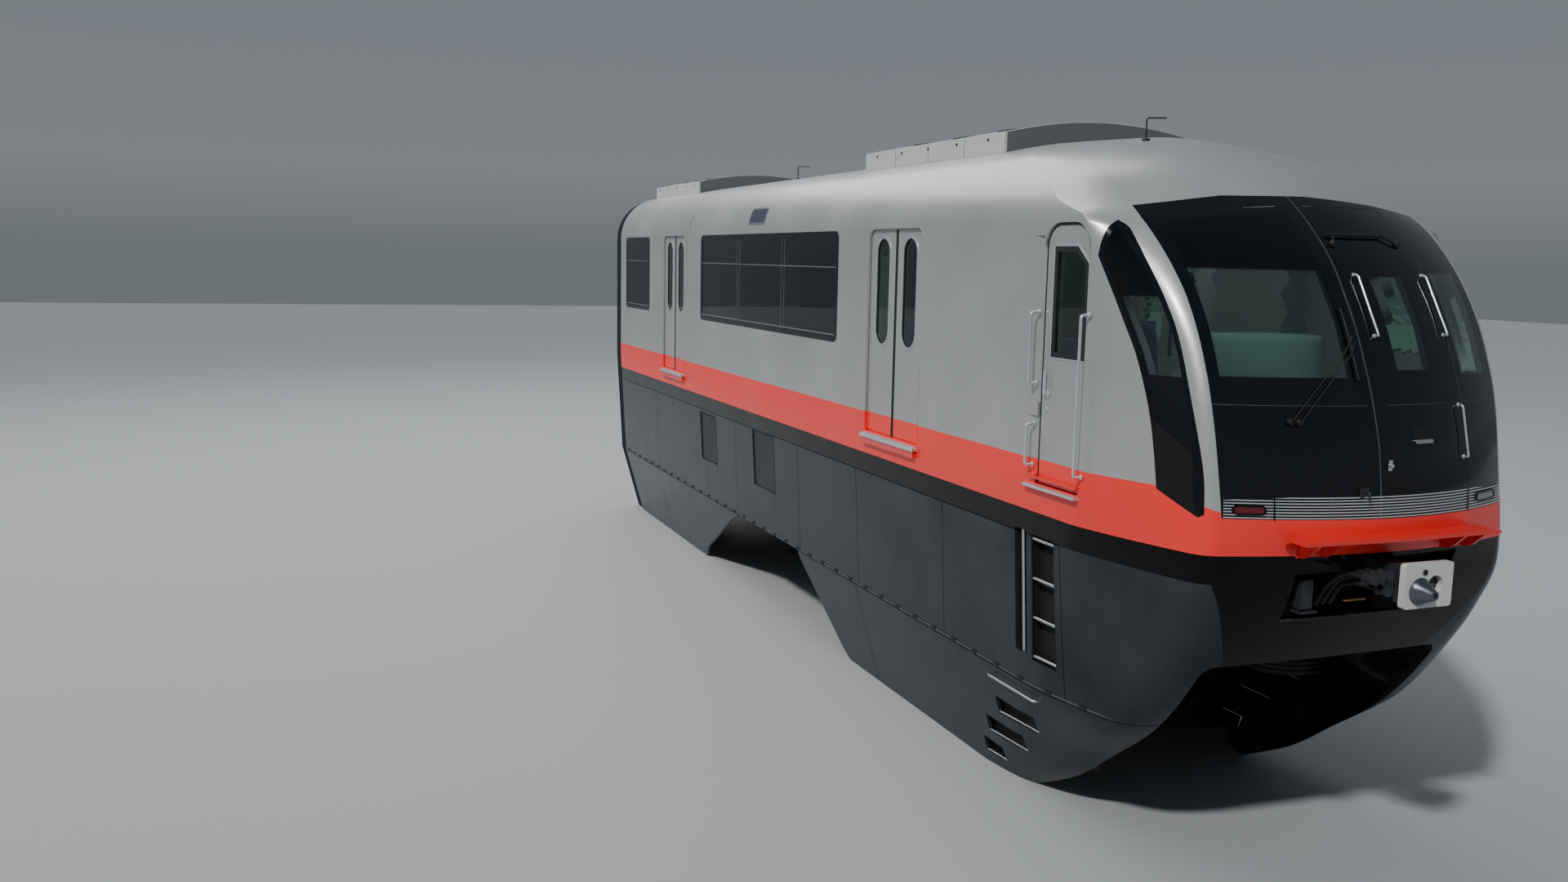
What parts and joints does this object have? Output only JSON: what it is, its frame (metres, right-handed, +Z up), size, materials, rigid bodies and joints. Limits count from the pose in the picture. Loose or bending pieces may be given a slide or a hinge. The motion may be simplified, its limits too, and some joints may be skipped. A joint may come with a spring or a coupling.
{
  "type": "monorail car",
  "caption": "Leading car of a straddle-beam monorail train: hollow body with cab, sliding doors and skirts on two bogies with running, guide and stabilising wheels.",
  "frame": {"origin": "centre line of the beam's running surface, midway between the two bogie pivots", "axes": "+X towards the nose, +Y to the car's left, +Z up"},
  "size_m": [14.837, 3.132, 5.1852],
  "materials": {
    "cast_steel": "dark grey primer on fabricated steel",
    "body_silver": "silver-grey metallic paint, semi-gloss",
    "roof_silver": "light silver-grey paint, satin",
    "glass": "dark tinted safety glass",
    "black_gloss": "black gloss panel",
    "bellows": "dark blue-black coated fabric, pleated",
    "ac_casing": "grey painted sheet metal, matt",
    "cab_lining": "grey moulded lining",
    "seat_cloth": "blue woven seat cloth",
    "skirt_grey": "dark metallic grey gloss paint",
    "red_paint": "red gloss paint",
    "bright_steel": "machined and painted coupler steel",
    "tyre": "black rubber tyre on a steel wheel"
  },
  "bodies": {
    "car_body": {"underframe": "cast_steel", "rear_drawbar": "cast_steel", "underfloor_equipment": "cast_steel", "side_wall_right": "body_silver", "side_wall_left": "body_silver", "front_mask": "body_silver", "rear_end_wall": "body_silver", "roof": "roof_silver", "windscreen_right": "glass", "windscreen_left": "glass", "quarter_window_right": "glass", "quarter_window_left": "glass", "emergency_door_window": "glass", "window_mid_right": "glass", "window_mid_left": "glass", "window_rear_right": "glass", "window_rear_left": "glass", "emergency_door": "black_gloss", "gangway_bellows": "bellows", "ac_unit_front": "ac_casing", "ac_unit_rear": "ac_casing", "cab_partition": "cab_lining", "cab_desk": "cab_lining", "driver_seat": "seat_cloth", "bench_right": "seat_cloth", "bench_left": "seat_cloth", "side_skirt_right": "skirt_grey", "side_skirt_left": "skirt_grey", "nose_chin": "skirt_grey", "bumper_shelf": "red_paint", "front_coupler": "bright_steel"},
    "door_right_front_fore": {"door_right_front_fore": "body_silver"},
    "door_right_front_aft": {"door_right_front_aft": "body_silver"},
    "door_left_front_fore": {"door_left_front_fore": "body_silver"},
    "door_left_front_aft": {"door_left_front_aft": "body_silver"},
    "door_right_rear_fore": {"door_right_rear_fore": "body_silver"},
    "door_right_rear_aft": {"door_right_rear_aft": "body_silver"},
    "door_left_rear_fore": {"door_left_rear_fore": "body_silver"},
    "door_left_rear_aft": {"door_left_rear_aft": "body_silver"},
    "cab_door_right": {"cab_door_right": "body_silver"},
    "cab_door_left": {"cab_door_left": "body_silver"},
    "bogie_front": {"bogie_frame_front": "cast_steel"},
    "axle_front_fore": {"axle_front_fore": "tyre"},
    "guide_wheel_front_fore_right": {"guide_wheel_front_fore_right": "tyre"},
    "guide_wheel_front_fore_left": {"guide_wheel_front_fore_left": "tyre"},
    "axle_front_aft": {"axle_front_aft": "tyre"},
    "guide_wheel_front_aft_right": {"guide_wheel_front_aft_right": "tyre"},
    "guide_wheel_front_aft_left": {"guide_wheel_front_aft_left": "tyre"},
    "stabilising_wheel_front_right": {"stabilising_wheel_front_right": "tyre"},
    "stabilising_wheel_front_left": {"stabilising_wheel_front_left": "tyre"},
    "bogie_rear": {"bogie_frame_rear": "cast_steel"},
    "axle_rear_fore": {"axle_rear_fore": "tyre"},
    "guide_wheel_rear_fore_right": {"guide_wheel_rear_fore_right": "tyre"},
    "guide_wheel_rear_fore_left": {"guide_wheel_rear_fore_left": "tyre"},
    "axle_rear_aft": {"axle_rear_aft": "tyre"},
    "guide_wheel_rear_aft_right": {"guide_wheel_rear_aft_right": "tyre"},
    "guide_wheel_rear_aft_left": {"guide_wheel_rear_aft_left": "tyre"},
    "stabilising_wheel_rear_right": {"stabilising_wheel_rear_right": "tyre"},
    "stabilising_wheel_rear_left": {"stabilising_wheel_rear_left": "tyre"}
  },
  "joints": [
    {"name": "door_right_front_fore_slide", "type": "slide", "parent": "car_body", "child": "door_right_front_fore", "axis": [1, 0, 0], "range_m": [0, 0.5]},
    {"name": "door_right_front_aft_slide", "type": "slide", "parent": "car_body", "child": "door_right_front_aft", "axis": [-1, 0, 0], "range_m": [0, 0.5]},
    {"name": "door_left_front_fore_slide", "type": "slide", "parent": "car_body", "child": "door_left_front_fore", "axis": [1, 0, 0], "range_m": [0, 0.5]},
    {"name": "door_left_front_aft_slide", "type": "slide", "parent": "car_body", "child": "door_left_front_aft", "axis": [-1, 0, 0], "range_m": [0, 0.5]},
    {"name": "door_right_rear_fore_slide", "type": "slide", "parent": "car_body", "child": "door_right_rear_fore", "axis": [1, 0, 0], "range_m": [0, 0.5]},
    {"name": "door_right_rear_aft_slide", "type": "slide", "parent": "car_body", "child": "door_right_rear_aft", "axis": [-1, 0, 0], "range_m": [0, 0.5]},
    {"name": "door_left_rear_fore_slide", "type": "slide", "parent": "car_body", "child": "door_left_rear_fore", "axis": [1, 0, 0], "range_m": [0, 0.5]},
    {"name": "door_left_rear_aft_slide", "type": "slide", "parent": "car_body", "child": "door_left_rear_aft", "axis": [-1, 0, 0], "range_m": [0, 0.5]},
    {"name": "cab_door_right_hinge", "type": "hinge", "parent": "car_body", "child": "cab_door_right", "pos_m": [6.377, -1.422, 1.13], "axis": [0, 0, -1], "range_deg": [0, 85]},
    {"name": "cab_door_left_hinge", "type": "hinge", "parent": "car_body", "child": "cab_door_left", "pos_m": [6.377, 1.422, 1.13], "axis": [0, 0, 1], "range_deg": [0, 85]},
    {"name": "bogie_front_yaw", "type": "hinge", "parent": "car_body", "child": "bogie_front", "pos_m": [4.6, 0, 0.5], "axis": [0, 0, 1], "range_deg": [-5, 5]},
    {"name": "axle_front_fore_spin", "type": "hinge", "parent": "bogie_front", "child": "axle_front_fore", "pos_m": [5.35, 0, 0.503], "axis": [0, 1, 0], "continuous": true},
    {"name": "guide_wheel_front_fore_right_spin", "type": "hinge", "parent": "bogie_front", "child": "guide_wheel_front_fore_right", "pos_m": [5.85, -0.765, -0.3], "axis": [0, 0, 1], "continuous": true},
    {"name": "guide_wheel_front_fore_left_spin", "type": "hinge", "parent": "bogie_front", "child": "guide_wheel_front_fore_left", "pos_m": [5.85, 0.765, -0.3], "axis": [0, 0, 1], "continuous": true},
    {"name": "axle_front_aft_spin", "type": "hinge", "parent": "bogie_front", "child": "axle_front_aft", "pos_m": [3.85, 0, 0.503], "axis": [0, 1, 0], "continuous": true},
    {"name": "guide_wheel_front_aft_right_spin", "type": "hinge", "parent": "bogie_front", "child": "guide_wheel_front_aft_right", "pos_m": [3.35, -0.765, -0.3], "axis": [0, 0, 1], "continuous": true},
    {"name": "guide_wheel_front_aft_left_spin", "type": "hinge", "parent": "bogie_front", "child": "guide_wheel_front_aft_left", "pos_m": [3.35, 0.765, -0.3], "axis": [0, 0, 1], "continuous": true},
    {"name": "stabilising_wheel_front_right_spin", "type": "hinge", "parent": "bogie_front", "child": "stabilising_wheel_front_right", "pos_m": [4.6, -0.765, -1], "axis": [0, 0, 1], "continuous": true},
    {"name": "stabilising_wheel_front_left_spin", "type": "hinge", "parent": "bogie_front", "child": "stabilising_wheel_front_left", "pos_m": [4.6, 0.765, -1], "axis": [0, 0, 1], "continuous": true},
    {"name": "bogie_rear_yaw", "type": "hinge", "parent": "car_body", "child": "bogie_rear", "pos_m": [-4.6, 0, 0.5], "axis": [0, 0, 1], "range_deg": [-5, 5]},
    {"name": "axle_rear_fore_spin", "type": "hinge", "parent": "bogie_rear", "child": "axle_rear_fore", "pos_m": [-3.85, 0, 0.503], "axis": [0, 1, 0], "continuous": true},
    {"name": "guide_wheel_rear_fore_right_spin", "type": "hinge", "parent": "bogie_rear", "child": "guide_wheel_rear_fore_right", "pos_m": [-3.35, -0.765, -0.3], "axis": [0, 0, 1], "continuous": true},
    {"name": "guide_wheel_rear_fore_left_spin", "type": "hinge", "parent": "bogie_rear", "child": "guide_wheel_rear_fore_left", "pos_m": [-3.35, 0.765, -0.3], "axis": [0, 0, 1], "continuous": true},
    {"name": "axle_rear_aft_spin", "type": "hinge", "parent": "bogie_rear", "child": "axle_rear_aft", "pos_m": [-5.35, 0, 0.503], "axis": [0, 1, 0], "continuous": true},
    {"name": "guide_wheel_rear_aft_right_spin", "type": "hinge", "parent": "bogie_rear", "child": "guide_wheel_rear_aft_right", "pos_m": [-5.85, -0.765, -0.3], "axis": [0, 0, 1], "continuous": true},
    {"name": "guide_wheel_rear_aft_left_spin", "type": "hinge", "parent": "bogie_rear", "child": "guide_wheel_rear_aft_left", "pos_m": [-5.85, 0.765, -0.3], "axis": [0, 0, 1], "continuous": true},
    {"name": "stabilising_wheel_rear_right_spin", "type": "hinge", "parent": "bogie_rear", "child": "stabilising_wheel_rear_right", "pos_m": [-4.6, -0.765, -1], "axis": [0, 0, 1], "continuous": true},
    {"name": "stabilising_wheel_rear_left_spin", "type": "hinge", "parent": "bogie_rear", "child": "stabilising_wheel_rear_left", "pos_m": [-4.6, 0.765, -1], "axis": [0, 0, 1], "continuous": true}
  ],
  "couplings": [
    {"joint": "door_right_front_aft_slide", "follows": "door_right_front_fore_slide", "ratio": 1},
    {"joint": "door_left_front_aft_slide", "follows": "door_left_front_fore_slide", "ratio": 1},
    {"joint": "door_right_rear_aft_slide", "follows": "door_right_rear_fore_slide", "ratio": 1},
    {"joint": "door_left_rear_aft_slide", "follows": "door_left_rear_fore_slide", "ratio": 1}
  ]
}
